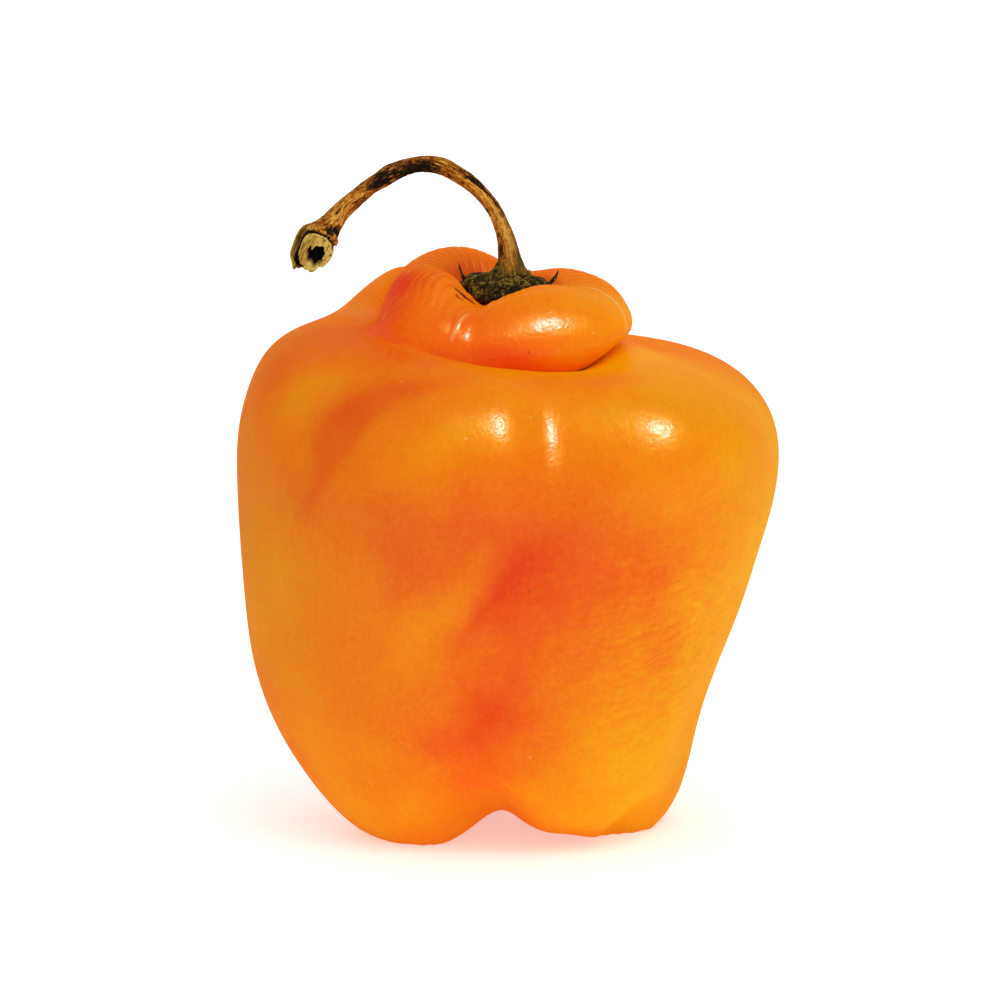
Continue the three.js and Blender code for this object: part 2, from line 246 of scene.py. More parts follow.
# Thin raised folds of skin on the crown, with a pale highlight painted along each; the left saddle has no
# rise
# and is only a painted reflection: width, rise, share of painted highlight, points along it.
CROWN_FOLDS_AND_HIGHLIGHTS = {
    "left saddle": (
        (1.5, 0.0, 0.14),
        [(-20.5, 7.5, 59.0), (-19.6, 6.7, 59.1), (-17.5, 4.7, 59.2), (-15.5, 3.3, 59.2)],
    ),
    "left lobe edge": (
        (0.2, 0.10, 0.45),
        [
            (-14.2, -7.2, 58.6),
            (-13.9, -5.6, 60.9),
            (-13.0, -3.5, 63.0),
            (-12.0, -2.4, 64.3),
            (-9.8, -0.6, 65.2),
        ],
    ),
    "left lobe side": (
        (0.22, 0.06, 0.14),
        [(-13.1, -5.0, 62.0), (-12.2, -7.0, 62.2), (-10.0, -8.3, 63.1)],
    ),
    "below the notch": (
        (0.24, 0.14, 0.5),
        [(-4.0, -10.3, 61.4), (-5.3, -12.6, 60.4), (-5.9, -13.4, 59.4), (-6.4, -14.0, 58.1)],
    ),
    "cushion rim": (
        (0.2, 0.05, 0.15),
        [(-3.6, -10.1, 61.2), (-2.0, -10.0, 61.7), (0.5, -9.6, 62.5), (3.6, -9.3, 63.2), (5.6, -8.2, 63.4)],
    ),
    "right front edge": (
        (0.2, 0.10, 0.22),
        [(5.6, -8.2, 63.4), (7.8, -7.2, 63.1), (9.5, -7.3, 62.5), (11.0, -8.9, 61.4), (12.5, -9.7, 59.5)],
    ),
    "right back edge": (
        (0.24, 0.14, 0.6),
        [
            (7.2, -0.4, 62.9),
            (10.3, -2.3, 62.4),
            (11.6, -5.1, 61.9),
            (12.6, -6.8, 61.0),
            (13.2, -8.2, 59.4),
            (13.2, -8.8, 57.6),
        ],
    ),
}
# Two short tears in the crown's inner edge, left of the notch: width, points along it.
TEARS = [
    (0.18, [(-6.3, -7.1, 63.5), (-5.3, -7.1, 62.8), (-4.2, -6.7, 61.9), (-3.6, -6.5, 61.4)]),
    (0.12, [(-5.9, -7.9, 62.8), (-5.1, -7.9, 62.0)]),
]


def curve_through(knots, count):
    """Points along the smooth line through the knots, with the knots spaced by the root of their distance."""
    ends = np.vstack((2 * knots[0] - knots[1], knots, 2 * knots[-1] - knots[-2]))
    gaps = np.linalg.norm(np.diff(ends, axis=0), axis=1) ** 0.5
    points = []
    for k in range(len(knots) - 1):
        t = np.linspace(0, 1, count, endpoint=False)[:, None]
        before, span, after = gaps[k : k + 3]
        last, start, end, following = ends[k : k + 4]
        slope_in = (start - last) / before - (end - last) / (before + span) + (end - start) / span
        slope_in = slope_in * span
        slope_out = (end - start) / span - (following - start) / (span + after) + (following - end) / after
        slope_out = slope_out * span
        bend = (2 * t**3 - 3 * t**2 + 1) * start + (t**3 - 2 * t**2 + t) * slope_in
        points.append(bend + (3 * t**2 - 2 * t**3) * end + (t**3 - t**2) * slope_out)
    return np.vstack((*points, knots[-1:]))


def near_line(points, knots, width):
    """How much of a thin line through the knots is felt at each point, from 0 to 1. It tapers at its ends."""
    line = curve_through(np.array(knots), 16)
    offsets = np.stack([np.linalg.norm(points - place, axis=-1) for place in line])
    taper = np.sin(math.pi * np.linspace(0.06, 0.94, len(line))) ** 0.5
    return np.exp(-((offsets / (width * taper[:, None, None])) ** 2)).max(axis=0)


fold_rise = 0
fold_highlight_paint = 0
# Each fold adds its rise, and the share of the highlight painted along it.
for (width, rise, pale), knots in CROWN_FOLDS_AND_HIGHLIGHTS.values():
    share = near_line(skin, knots, width)
    fold_rise = fold_rise + rise * share
    fold_highlight_paint = np.maximum(fold_highlight_paint, pale * share)
torn = np.clip(1.5 * np.maximum(*[near_line(skin, knots, width) for width, knots in TEARS]), 0, 1)
# The skin is slightly uneven all over, and lumpy on the right flank: azimuth, spread, ring, reach.
LUMPY_FLANK = (312, 17, 6.4, 1.3)
LUMP_HEIGHT = 0.2
UNEVENNESS = 0.07
TEAR_DEPTH = 0.1
lumps = share_at(azimuth, ring, *LUMPY_FLANK)
relief = UNEVENNESS * rumple(skin, 7, 11) + LUMP_HEIGHT * lumps * rumple(skin, 4.5, 5)
relief -= CREASE_DEPTH * creases
relief += fold_rise - TEAR_DEPTH * torn
# The relief dies away towards the middle of the foot and of the dish, and the feet stay on the ground.
fade = np.clip(ring / 2, 0, 1) * np.clip((19.5 - ring) / 1.5, 0, 1)
skin += facing * (relief * fade)[..., None]
skin[..., 2] = np.maximum(skin[..., 2], 0)

# Ripeness runs from yellow at 0, over orange, to red at 1. It ripens in patches with ragged edges.
# Each patch: azimuth, spread in degrees, ring, reach in rings, rings climbed in ten degrees, gain.
RIPE_PATCHES = {
    "valley flush": (281, 14.5, 7.5, 1.4, 0, 0.37),
    "valley red high": (274, 6, 7.8, 0.5, 0, 0.18),
    "valley red middle": (272, 5, 7.1, 0.4, 0, 0.15),
    "valley red left blob": (266.5, 4.5, 6.95, 0.22, 0.8, 0.16),
    "valley flush low": (271, 9.5, 5.6, 0.9, 0, 0.27),
    "valley red low": (266.5, 3.5, 5.8, 0.5, 0, 0.16),
    "valley red low left": (258, 5, 5.35, 0.25, 0, 0.12),
    "valley red foot": (267, 8, 4.2, 0.7, 0, 0.22),
    "left front flush": (252, 13, 8.2, 0.7, 0, 0.18),
    "left front spot": (249, 4, 7.5, 0.3, 0, 0.12),
    "left middle flush": (222, 10, 8.4, 0.6, 0, 0.12),
    "front streak yellow": (259, 8, 7.15, 0.45, 0.8, -0.14),
    "front streak yellow low": (250, 8, 6.5, 0.6, 0.5, -0.06),
    "left edge flush": (201, 6, 9.9, 0.8, 0, 0.24),
    "left edge yellow": (208, 12, 7.3, 0.9, 0, -0.12),
    "left low flush": (242, 10, 6.0, 0.7, 0, 0.08),
    "left low yellow": (218, 7, 5.5, 0.8, 0, -0.08),
    "left foot yellow": (228, 24, 4.1, 0.7, 0, -0.14),
    "diagonal flush low": (228, 4, 9.1, 0.5, 1.4, 0.26),
    "diagonal flush middle": (232, 5, 9.9, 0.4, 0.6, 0.22),
    "diagonal flush high": (245, 9, 10.5, 0.35, 0.4, 0.24),
    "right shoulder flush": (293, 9, 10.9, 0.4, 0, 0.16),
    "shoulder top yellow": (296, 36, 11.9, 1.0, 0, -0.13),
    "right shoulder top yellow": (345, 20, 11.9, 0.6, 0, -0.12),
    "left shoulder yellow": (220, 6, 10.1, 0.5, 0.6, -0.20),
    "front crest yellow": (256, 9, 9.5, 0.4, 0.3, -0.16),
    "front shoulder yellow": (288, 34, 10.2, 0.9, 0, -0.12),
    "right side yellow": (335, 27, 8.0, 9.0, 0, -0.24),
    "right middle flush": (308, 8, 7.8, 0.5, 0, 0.11),
    "right foot yellow": (312, 16, 5.0, 0.9, 0, -0.14),
    "right foot yellow low": (304, 18, 4.0, 0.6, 0, -0.12),
    "flank blotch": (310, 5, 6.6, 0.35, 0, 0.20),
    "flank blotch high": (303, 5, 7.4, 0.3, 0, 0.12),
    "left shoulder flush": (206, 14, 11.6, 0.9, 0, 0.18),
    "left shoulder flush near": (232, 9, 11.7, 0.7, 0, 0.20),
    "crown left lobe flush": (204, 17, 14.4, 1.9, 0, 0.38),
    "crown left wall flush": (216, 14, 13.0, 0.8, 0, 0.18),
    "crown left patch": (194, 9, 15.3, 0.5, 0, 0.30),
    "crown underside": (270, 12, 13.6, 0.6, 0, 0.32),
    "crown front flush": (254, 14, 14.8, 0.8, 0, 0.16),
    "crown right end yellow": (330, 24, 14.8, 1.4, 0, -0.08),
    "crown back wall": (100, 60, 18.0, 0.9, 0, 0.22),
    "dish left wall": (190, 30, 17.9, 0.6, 0, 0.50),
    "back flush": (60, 20, 7.0, 1.6, 0, 0.32),
    "back left flush": (152, 14, 6.6, 1.2, 0, 0.24),
    "back yellow": (100, 24, 8.4, 1.4, 0, -0.22),
    "far side yellow": (22, 24, 8.2, 1.6, 0, -0.06),
}
ORANGE = 0.44
ripeness = ORANGE + 0.04 * rumple(skin, 13, 21) + 0.03 * rumple(skin, 6, 22)
# Painted shade and light: the creases are redder in their depths, and yellower between.
ripeness += 0.22 * (creases - 0.3 * crown_rim * puckered)
wandering_azimuth = azimuth + math.radians(1.8) * rumple(skin, 9, 31)
wandering_azimuth += math.radians(1.2) * rumple(skin, 3.6, 33)
wandering_ring = ring + 0.12 * rumple(skin, 8, 32) + 0.08 * rumple(skin, 3.6, 34)
for centre, spread, at, reach, climb, gain in RIPE_PATCHES.values():
    middle_ring = at + climb * np.sin(wandering_azimuth - math.radians(centre)) * math.degrees(1) / 10
    ripeness += gain * share_at(wandering_azimuth, wandering_ring, centre, spread, middle_ring, reach)
# Painted shade: the left side is duller, and so is its shoulder: azimuth, spread, ring, reach.
PAINTED_SHADE_SIDE = (196, 34, 8.6, 3.6)
PAINTED_SHADE_SHOULDER = (236, 12, 10, 1.2)
left_painted_shade = 0.9 * share_at(azimuth, ring, *PAINTED_SHADE_SIDE) + 0.2 * share_at(azimuth, ring, *PAINTED_SHADE_SHOULDER)
# The grain runs up the fruit from foot to crown: round it in the first two numbers, up it in the last.
grain = np.stack((np.cos(azimuth), np.sin(azimuth), 0.12 * ring), -1)
# The right flank is wrinkled. Its wrinkles are long ones, lie across it and rise to the right.
WRINKLED_FLANK = (311, 19, 6.5, 1.5)
WRINKLES_ELSEWHERE = 0.12
WRINKLE_SQUEEZE = 0.3
WRINKLE_CLIMB = 0.22
wrinkled = WRINKLES_ELSEWHERE + (1 - WRINKLES_ELSEWHERE) * share_at(azimuth, ring, *WRINKLED_FLANK)
wrinkle_height = skin[..., 2] - WRINKLE_CLIMB * skin[..., 0]
# Painted shade: the red is taken down below the shoulders, against the light thrown up by the floor.
LOWER_SHADE_BELOW = 10.6
LOWER_SHADE_BLEND = 2.4

fruit = closed_mesh(
    "fruit_skin",
    skin,
    {
        "ripeness": np.clip(ripeness, 0, 1),
        # Painted shade on the left side and its shoulder.
        "left_painted_shade": np.clip(left_painted_shade, 0, 1),
        "grain": grain,
        "crown_creases": crown_rim * np.minimum(puckered, 1),
        # Painted highlights along the crown's folds, and a painted reflection on the left saddle.
        "fold_highlight_paint": fold_highlight_paint,
        "torn": torn,
        # Painted shade below the shoulders.
        "lower_painted_shade": np.clip((LOWER_SHADE_BELOW - ring) / LOWER_SHADE_BLEND, 0, 1),
        "wrinkled": wrinkled,
        "wrinkle_place": np.dstack((WRINKLE_SQUEEZE * skin[..., :2], wrinkle_height)),
    },
)


def add_node(tree, kind, inputs=None, **settings):
    """A node with its settings, and its inputs given as values or as other nodes' outputs."""
    node = tree.nodes.new(kind)
    for name, value in settings.items():
        setattr(node, name, value)
    for socket, value in (inputs or {}).items():
        if isinstance(value, bpy.types.NodeSocket):
            tree.links.new(value, node.inputs[socket])
        else:
            node.inputs[socket].default_value = value
    return node


def calculate(tree, operation, *values):
    return add_node(tree, "ShaderNodeMath", dict(enumerate(values)), operation=operation).outputs[0]


def noise(tree, place, scale, detail=2.0, roughness=0.5, distortion=0.0):
    inputs = {"Vector": place, "Scale": scale, "Detail": detail}
    inputs |= {"Roughness": roughness, "Distortion": distortion}
    return add_node(tree, "ShaderNodeTexNoise", inputs).outputs[0]


def blend_colors(tree, how, share, first, second):
    """Two colours blended. The Mix node's sockets for colours are 6 and 7, and 2 for what comes out."""
    inputs = {0: share, 6: first, 7: second}
    return add_node(tree, "ShaderNodeMix", inputs, data_type="RGBA", blend_type=how).outputs[2]


def step_between(tree, value, low, high):
    """0 below low, 1 above high, and smooth between them."""
    inputs = {"Value": value, "From Min": low, "From Max": high}
    return add_node(tree, "ShaderNodeMapRange", inputs, interpolation_type="SMOOTHSTEP").outputs[0]


def paint(red, green, blue):
    """A colour as it is seen on a screen, from 0 to 255, turned into light."""
    shares = [c / 255 for c in (red, green, blue)]
    return [((c + 0.055) / 1.055) ** 2.4 if c > 0.0405 else c / 12.92 for c in shares] + [1.0]


def color_ramp(tree, value, stops):
    node = add_node(tree, "ShaderNodeValToRGB", {"Fac": value})
    elements = node.color_ramp.elements
    while len(elements) < len(stops):
        elements.new(0.5)
    for element, (position, color) in zip(elements, sorted(stops.items())):
        element.position = position
        element.color = paint(*color)
    return node.outputs["Color"]


def named_value(tree, name, output="Fac"):
    return add_node(tree, "ShaderNodeAttribute", attribute_name=name).outputs[output]


def new_material(name):
    material = bpy.data.materials.new(name)
    material.use_nodes = True
    material.node_tree.nodes.clear()
    return material, material.node_tree


def finish_material(tree, inputs):
    surface = add_node(tree, "ShaderNodeBsdfPrincipled", inputs)
    add_node(tree, "ShaderNodeOutputMaterial", {"Surface": surface.outputs[0]})


SKIN_YELLOW = (255, 162, 4)
SKIN_ORANGE = (254, 126, 4)
SKIN_RED_ORANGE = (248, 94, 8)
SKIN_RED = (240, 59, 12)
SKIN_PAINTED_HIGHLIGHT = (255, 192, 112)
SKIN_TEAR = (92, 10, 8)
SKIN_PAINTED_SHADE = (214, 112, 16)
SKIN_SPECK = (120, 58, 20)
SKIN_PORE = (255, 205, 120)
SKIN_LOWER_SHADE = (0.84, 1.0, 1.0, 1.0)
skin_material, tree = new_material("waxy_pepper_skin")
place = add_node(tree, "ShaderNodeTexCoord").outputs["Object"]
grain_place = named_value(tree, "grain", "Vector")
# Mottling and streaks move the ripeness a little: where they read, scale, detail, roughness, swing.
MOTTLING = {
    "broad mottle": (place, 260, 3, 0.5, 0.16),
    "fine mottle": (place, 1700, 4, 0.75, 0.34),
    "streaks": (grain_place, 34, 3, 0.6, 0.16),
    "fine streaks": (grain_place, 110, 2, 0.6, 0.14),
}
ripe = named_value(tree, "ripeness")
for where, scale, detail, roughness, swing in MOTTLING.values():
    unevenness = noise(tree, where, scale, detail, roughness)
    ripe = calculate(tree, "ADD", ripe, calculate(tree, "MULTIPLY_ADD", unevenness, swing, -swing / 2))
# The wrinkles are fine and wavy; painted light makes their crests yellower, and painted shade their troughs
# redder.
wrinkles = noise(tree, named_value(tree, "wrinkle_place", "Vector"), 1.5, 3, 0.6, 0.8)
wrinkles = calculate(tree, "SUBTRACT", wrinkles, 0.5)
wrinkles = calculate(tree, "MULTIPLY", wrinkles, named_value(tree, "wrinkled"))
ripe = calculate(tree, "MULTIPLY_ADD", wrinkles, -0.65, ripe)
skin_color = color_ramp(
    tree, ripe, {0.12: SKIN_YELLOW, 0.42: SKIN_ORANGE, 0.68: SKIN_RED_ORANGE, 0.95: SKIN_RED}
)
# Painted shade dulls the left side and its shoulder.
painted_shade_share = calculate(tree, "MULTIPLY", named_value(tree, "left_painted_shade"), 0.55)
skin_color = blend_colors(tree, "MIX", painted_shade_share, skin_color, paint(*SKIN_PAINTED_SHADE))
# Painted shade takes the red down below the shoulders.
skin_color = blend_colors(tree, "MULTIPLY", named_value(tree, "lower_painted_shade"), skin_color, SKIN_LOWER_SHADE)
# Painted highlights run along the crown's thin folds, and its tears are dark.
skin_color = blend_colors(tree, "MIX", named_value(tree, "fold_highlight_paint"), skin_color, paint(*SKIN_PAINTED_HIGHLIGHT))
skin_color = blend_colors(tree, "MIX", named_value(tree, "torn"), skin_color, paint(*SKIN_TEAR))
# A few dark specks and pale pores: which cells have one, how strongly it shows, and its colour.
SPECK_CELLS = 420.0
SPECK_SIZE = 0.12
SPECKS = [("GREATER_THAN", 0.93, 0.45, SKIN_SPECK), ("LESS_THAN", 0.05, 0.35, SKIN_PORE)]
cells = add_node(tree, "ShaderNodeTexVoronoi", {"Vector": place, "Scale": SPECK_CELLS})
speck_size = calculate(tree, "MULTIPLY", noise(tree, place, 90, 1), SPECK_SIZE)
is_speck = calculate(tree, "LESS_THAN", cells.outputs["Distance"], speck_size)
cell_number = add_node(tree, "ShaderNodeSeparateColor", {"Color": cells.outputs["Color"]}).outputs[0]
for test, limit, strength, color in SPECKS:
    shown = calculate(tree, "MULTIPLY", is_speck, calculate(tree, test, cell_number, limit))
    shown = calculate(tree, "MULTIPLY", shown, strength)
    skin_color = blend_colors(tree, "MIX", shown, skin_color, paint(*color))
# The wax is faintly pitted, and the crown's skin is drawn into fine lines.
pits = noise(tree, place, 2100, 2, 0.6, 0.4)
waves = noise(tree, place, 620, 2)
fine_lines = noise(tree, grain_place, 60, 2, 0.6)
fine_lines = calculate(tree, "MULTIPLY", fine_lines, named_value(tree, "crown_creases"))
height = calculate(tree, "MULTIPLY_ADD", pits, 0.7, waves)
height = calculate(tree, "MULTIPLY_ADD", fine_lines, 2.0, height)
height = calculate(tree, "MULTIPLY_ADD", wrinkles, 3.0, height)
skin_bump = add_node(tree, "ShaderNodeBump", {"Strength": 0.22, "Distance": 0.0003, "Height": height})
finish_material(
    tree,
    {
        "Base Color": skin_color,
        "Roughness": 0.5,
        "Specular IOR Level": 0.0,
        "Subsurface Weight": 0.12,
        "Subsurface Radius": (1.0, 0.4, 0.12),
        "Subsurface Scale": 0.003,
        "Coat Weight": 0.06,
        "Coat Roughness": 0.24,
        "Coat IOR": 2.2,
        "Normal": skin_bump.outputs[0],
        "Coat Normal": skin_bump.outputs[0],
    },
)
fruit.data.materials.append(skin_material)
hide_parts("fruit")
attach(fruit, "root")

# The calyx: the dried green cap that the fruit hung from. It sits in the crown's dish, thickest at the
# left where the crown opens, and rises in a neck that runs on into the stem. Its teeth grow from its edge.
# Each ring: radius, height. The cap's rings aren't shifted or tilted. Its swells are as the fruit's.
CALYX_PROFILE = [
    (0.0, 60.7),
    (2.4, 60.7),
    (4.2, 61.3),
    (5.5, 62.2),
    (5.3, 63.3),
    (3.9, 63.9),
    (2.5, 64.0),
    (1.5, 64.5),
    (1.1, 65.2),
    (0.7, 65.8),
    (0.0, 65.8),
]
CALYX_RINGS = [(radius, height, 0, 0, 0) for radius, height in CALYX_PROFILE]
CALYX_SWELLS = {
    "front left droop": (246, 24, 3.6, 1.6, 0.5, -0.9),
    "left bulge": (190, 34, 4.4, 1.2, 0.0, 0.5),
    "right thin": (0, 40, 4.6, 1.4, -0.1, -0.5),
    "front right short": (300, 26, 3.6, 1.6, -0.6, 0),
}
CALYX_AROUND = 160
CALYX_ROWS = {0: 20, 2: 60, 8: 30, 10: 0}
CALYX_VEINS = 11
CAP_VEIN_RISE = 0.10
CAP_KNOB_RISE = 0.10
CAP_PIMPLE_RISE = 0.06
azimuths = np.linspace(0, 2 * math.pi, CALYX_AROUND, endpoint=False)
azimuth, ring = np.meshgrid(azimuths, net_rows(CALYX_ROWS))
cap = grown_skin(CALYX_RINGS, CALYX_SWELLS, azimuth, ring)
veins = np.sin(CALYX_VEINS * azimuth + 1.2 * rumple(cap, 3, 41)) * np.exp(-(((ring - 5.5) / 2.5) ** 2))
cap_relief = CAP_KNOB_RISE * rumple(cap, 1.6, 42) + CAP_PIMPLE_RISE * rumple(cap, 0.7, 43)
cap_relief += CAP_VEIN_RISE * veins
cap_fade = np.clip((10 - ring) / 1.5, 0, 1) * np.clip(ring / 1.5, 0, 1)
outward = np.stack((np.cos(azimuth), np.sin(azimuth), np.where(ring > 4, 1.0, -0.2)), -1)
cap += outward * (cap_relief * cap_fade)[..., None]
calyx = closed_mesh(
    "calyx_cap", cap, {"grain": np.stack((np.cos(azimuth), np.sin(azimuth), 0.2 * ring), -1)}
)

CALYX_DARK = (18, 13, 3)
CALYX_OLIVE = (66, 48, 12)
CALYX_PALE = (150, 126, 44)
calyx_material, tree = new_material("dry_green_calyx")
place = add_node(tree, "ShaderNodeTexCoord").outputs["Object"]
blotches = noise(tree, place, 1500, 3, 0.75, 1.2)
shades = noise(tree, place, 420, 2, 0.5)
calyx_tone = calculate(tree, "MULTIPLY_ADD", blotches, 0.7, calculate(tree, "MULTIPLY", shades, 0.3))
calyx_color = color_ramp(tree, calyx_tone, {0.44: CALYX_DARK, 0.52: CALYX_OLIVE, 0.61: CALYX_PALE})
calyx_bump = add_node(tree, "ShaderNodeBump", {"Strength": 0.8, "Distance": 0.0003, "Height": calyx_tone})
finish_material(
    tree,
    {
        "Base Color": calyx_color,
        "Roughness": 0.8,
        "Specular IOR Level": 0.02,
        "Normal": calyx_bump.outputs[0],
    },
)
calyx.data.materials.append(calyx_material)
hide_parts("calyx")
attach(calyx, "root")

# The calyx's teeth: dry green points that grow out of the cap's edge and curl up. Each one is a spur
# round a short curve, thick at its root inside the cap and sharp at its tip.
# Each tooth: azimuth, rise, lean outward.
CALYX_TEETH = [(4, 2.3, 1.5), (78, 1.8, 1.0), (180, 3.3, 1.3), (207, 1.2, 1.9)]
TOOTH_ROOT_REACH = 4.3
TOOTH_ROOT_HEIGHT = 62.6
TOOTH_RADIUS = 0.34
TOOTH_ROWS = 26


def spur_rows(line, radii, around=20):
    """Rows of points round a line, from its first point to its last, with the radii given at its points."""
    direction = np.gradient(line, axis=0)
    direction /= np.linalg.norm(direction, axis=1, keepdims=True)
    side = np.cross(direction, (0.0, 0.0, 1.0) if abs(direction[0, 2]) < 0.9 else (1.0, 0.0, 0.0))
    side /= np.linalg.norm(side, axis=1, keepdims=True)
    front = np.cross(side, direction)
    angle = np.linspace(0, 2 * math.pi, around, endpoint=False)[None, :, None]
    round_line = np.cos(angle) * side[:, None] - np.sin(angle) * front[:, None]
    return line[:, None] + round_line * np.asarray(radii)[:, None, None]


for number, (tooth_azimuth, rise, lean) in enumerate(CALYX_TEETH, 1):
    out = np.array((math.cos(math.radians(tooth_azimuth)), math.sin(math.radians(tooth_azimuth)), 0))
    root = TOOTH_ROOT_REACH * out + (0, 0, TOOTH_ROOT_HEIGHT)
    elbow = root + 0.85 * lean * out + (0, 0, 0.35 * rise)
    tip = root + lean * out + (0, 0, 0.85 * rise)
    t = np.linspace(0, 1, TOOTH_ROWS)[:, None]
    line = (1 - t) ** 2 * root + 2 * t * (1 - t) * elbow + t**2 * tip
    radii = TOOTH_RADIUS * (1 - t[:, 0]) ** 0.75 * (1 + 0.12 * np.sin(14 * t[:, 0] + number))
    radii[0] = 0
    tooth = closed_mesh(f"calyx_tooth_{number}", spur_rows(line, radii), {})
    tooth.data.materials.append(calyx_material)
    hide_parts("calyx")
    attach(tooth, "root")

# The stem: a dry, corky stalk that rises from the calyx, arches over to the left and towards the front,
# and ends where it was torn off: a collar, then a cup of pale spongy pith, cut aslant, with a hollow painted
# dark as shade.
STEM_ROUTE = np.array(
    [
        (0.3, 0, 64.0),
        (0.2, 0, 65.6),
        (-0.2, 0, 68.2),
        (-1.95, -0.3, 72.0),
        (-4.8, -1.1, 75.0),
        (-7.9, -2.2, 76.75),
        (-11.4, -3.5, 76.75),
        (-15.0, -4.8, 75.0),
        (-18.3, -6.1, 72.5),
        (-20.2, -7.0, 70.4),
        (-21.1, -7.6, 69.1),
        (-21.9, -8.5, 67.3),
    ]
)
# Distance along the stem and its radius there, up to the collar.
STEM_GIRTH = [
    (0.0, 2.3),
    (0.5, 1.9),
    (1.2, 1.55),
    (2.0, 1.3),
    (3.0, 1.16),
    (4.0, 1.04),
    (5.2, 0.91),
    (7.0, 0.86),
    (10.0, 0.85),
    (13.5, 0.88),
    (15.8, 0.97),
    (18.0, 0.92),
    (20.0, 0.9),
    (22.0, 0.94),
    (24.0, 0.99),
    (25.2, 0.92),
    (28.0, 1.0),
    (30.0, 1.1),
    (31.4, 1.28),
]
# The torn end: distance back from the tip and radius, over the collar, the groove, the cup and its hollow.
STEM_END = [
    (3.7, 1.42),
    (3.2, 1.58),
    (2.9, 1.8),
    (2.6, 1.95),
    (2.3, 1.93),
    (2.1, 1.68),
    (1.95, 1.6),
    (1.75, 1.66),
    (1.3, 1.78),
    (0.7, 1.86),
    (0.25, 1.8),
    (0.2, 1.6),
    (0.32, 1.36),
    (0.44, 1.14),
    (0.62, 0.98),
    (1.2, 0.88),
    (1.8, 0.66),
    (2.1, 0.3),
    (2.2, 0.0),
]
END_POINTS = 7
RIM_KNOT = 10
STEM_AROUND = 132
STEM_STEP = 0.1
stem_line = curve_through(STEM_ROUTE, 40)
line_steps = np.concatenate(([0], np.cumsum(np.linalg.norm(np.diff(stem_line, axis=0), axis=1))))
stem_length = line_steps[-1]
line_direction = np.gradient(stem_line, line_steps, axis=0)


def stand_on_stem(angle, along, radius):
    """A place by its angle round the stem, 0 being outside the arch, its distance along and its radius."""
    inside = np.clip(along, 0, stem_length)
    point = np.stack([np.interp(inside, line_steps, stem_line[:, axis]) for axis in range(3)], -1)
    tangent = np.stack([np.interp(inside, line_steps, line_direction[:, axis]) for axis in range(3)], -1)
    tangent /= np.linalg.norm(tangent, axis=-1, keepdims=True)
    side = np.cross((0.0, 1.0, 0.0), tangent)
    side /= np.linalg.norm(side, axis=-1, keepdims=True)
    front = np.cross(side, tangent)
    point = point + tangent * (along - inside)[..., None]
    return point + radius[..., None] * (np.cos(angle)[..., None] * side + np.sin(angle)[..., None] * front)


girth = curve_through(np.array(STEM_GIRTH), 30)
shaft_along = np.arange(0, STEM_GIRTH[-1][0], STEM_STEP)
shaft_radius = np.interp(shaft_along, girth[:, 0], girth[:, 1])
end_line = curve_through(np.array([(stem_length - back, radius) for back, radius in STEM_END]), END_POINTS)
along = np.concatenate(([0], shaft_along, end_line[:, 0]))
radius = np.concatenate(([0], shaft_radius, end_line[:, 1]))
angles = np.linspace(0, 2 * math.pi, STEM_AROUND, endpoint=False)
angle, along = np.meshgrid(angles, along)
radius = np.repeat(radius[:, None], STEM_AROUND, axis=1)
# Rows are counted from the start of the torn end, and those of the stalk are below 1.
end_row = np.indices(radius.shape)[0] - len(shaft_along) - 1
rim_row = RIM_KNOT * END_POINTS
back = stem_length - along
# Long ridges and shallow knobs in the bark.
RIDGE_RISE = 0.05
FINE_RIDGE_RISE = 0.035
KNOB_RISE = 0.06
unrolled = np.stack((np.cos(angle) * 1.3, np.sin(angle) * 1.3, along * 0.32), -1)
ridges = RIDGE_RISE * rumple(unrolled, 0.8, 51) + FINE_RIDGE_RISE * rumple(unrolled, 0.4, 52)
knobs = KNOB_RISE * rumple(np.stack((np.cos(angle), np.sin(angle), along), -1), 2.4, 53)
radius = radius + (ridges + knobs) * np.clip(radius, 0, 1) * np.clip(along / 1.5, 0.2, 1)
# The cup is torn aslant, shortest at the front, with a ragged rim and a hollow that lies off its middle.
# A slit in its face parts a strip of pith from the rest.
CUT_LEAN = 1.6
CUT_ANGLE = math.radians(100)
CUP_LENGTH = 1.95
CUP_SHIFT = 0.14
HOLLOW_ROWS = 25
HOLLOW_SHIFT = 0.6
HOLLOW_ANGLE = math.radians(250)
SLIT_PLACE = (0.68, -0.15)
SLIT_SIZE = (0.17, 0.46)
SLIT_DEPTH = 0.7
PITH_RELIEF = 0.12
cup_wall = np.clip(1 - back / CUP_LENGTH, 0, 1) * (end_row > 0)
near_rim = np.exp(-(((end_row - rim_row) / 9) ** 2))
ragged = 0.13 * np.sin(5 * angle) + 0.10 * np.sin(11 * angle + 1) + 0.09 * np.sin(17 * angle + 2)
face = np.clip((end_row - rim_row + 5) / 5, 0, 1)
into_hollow = np.clip((end_row - rim_row) / HOLLOW_ROWS, 0, 1)
radius = radius * (1 + into_hollow * (0.13 * np.sin(3 * angle + 2.2) + 0.09 * np.sin(7 * angle + 1)))
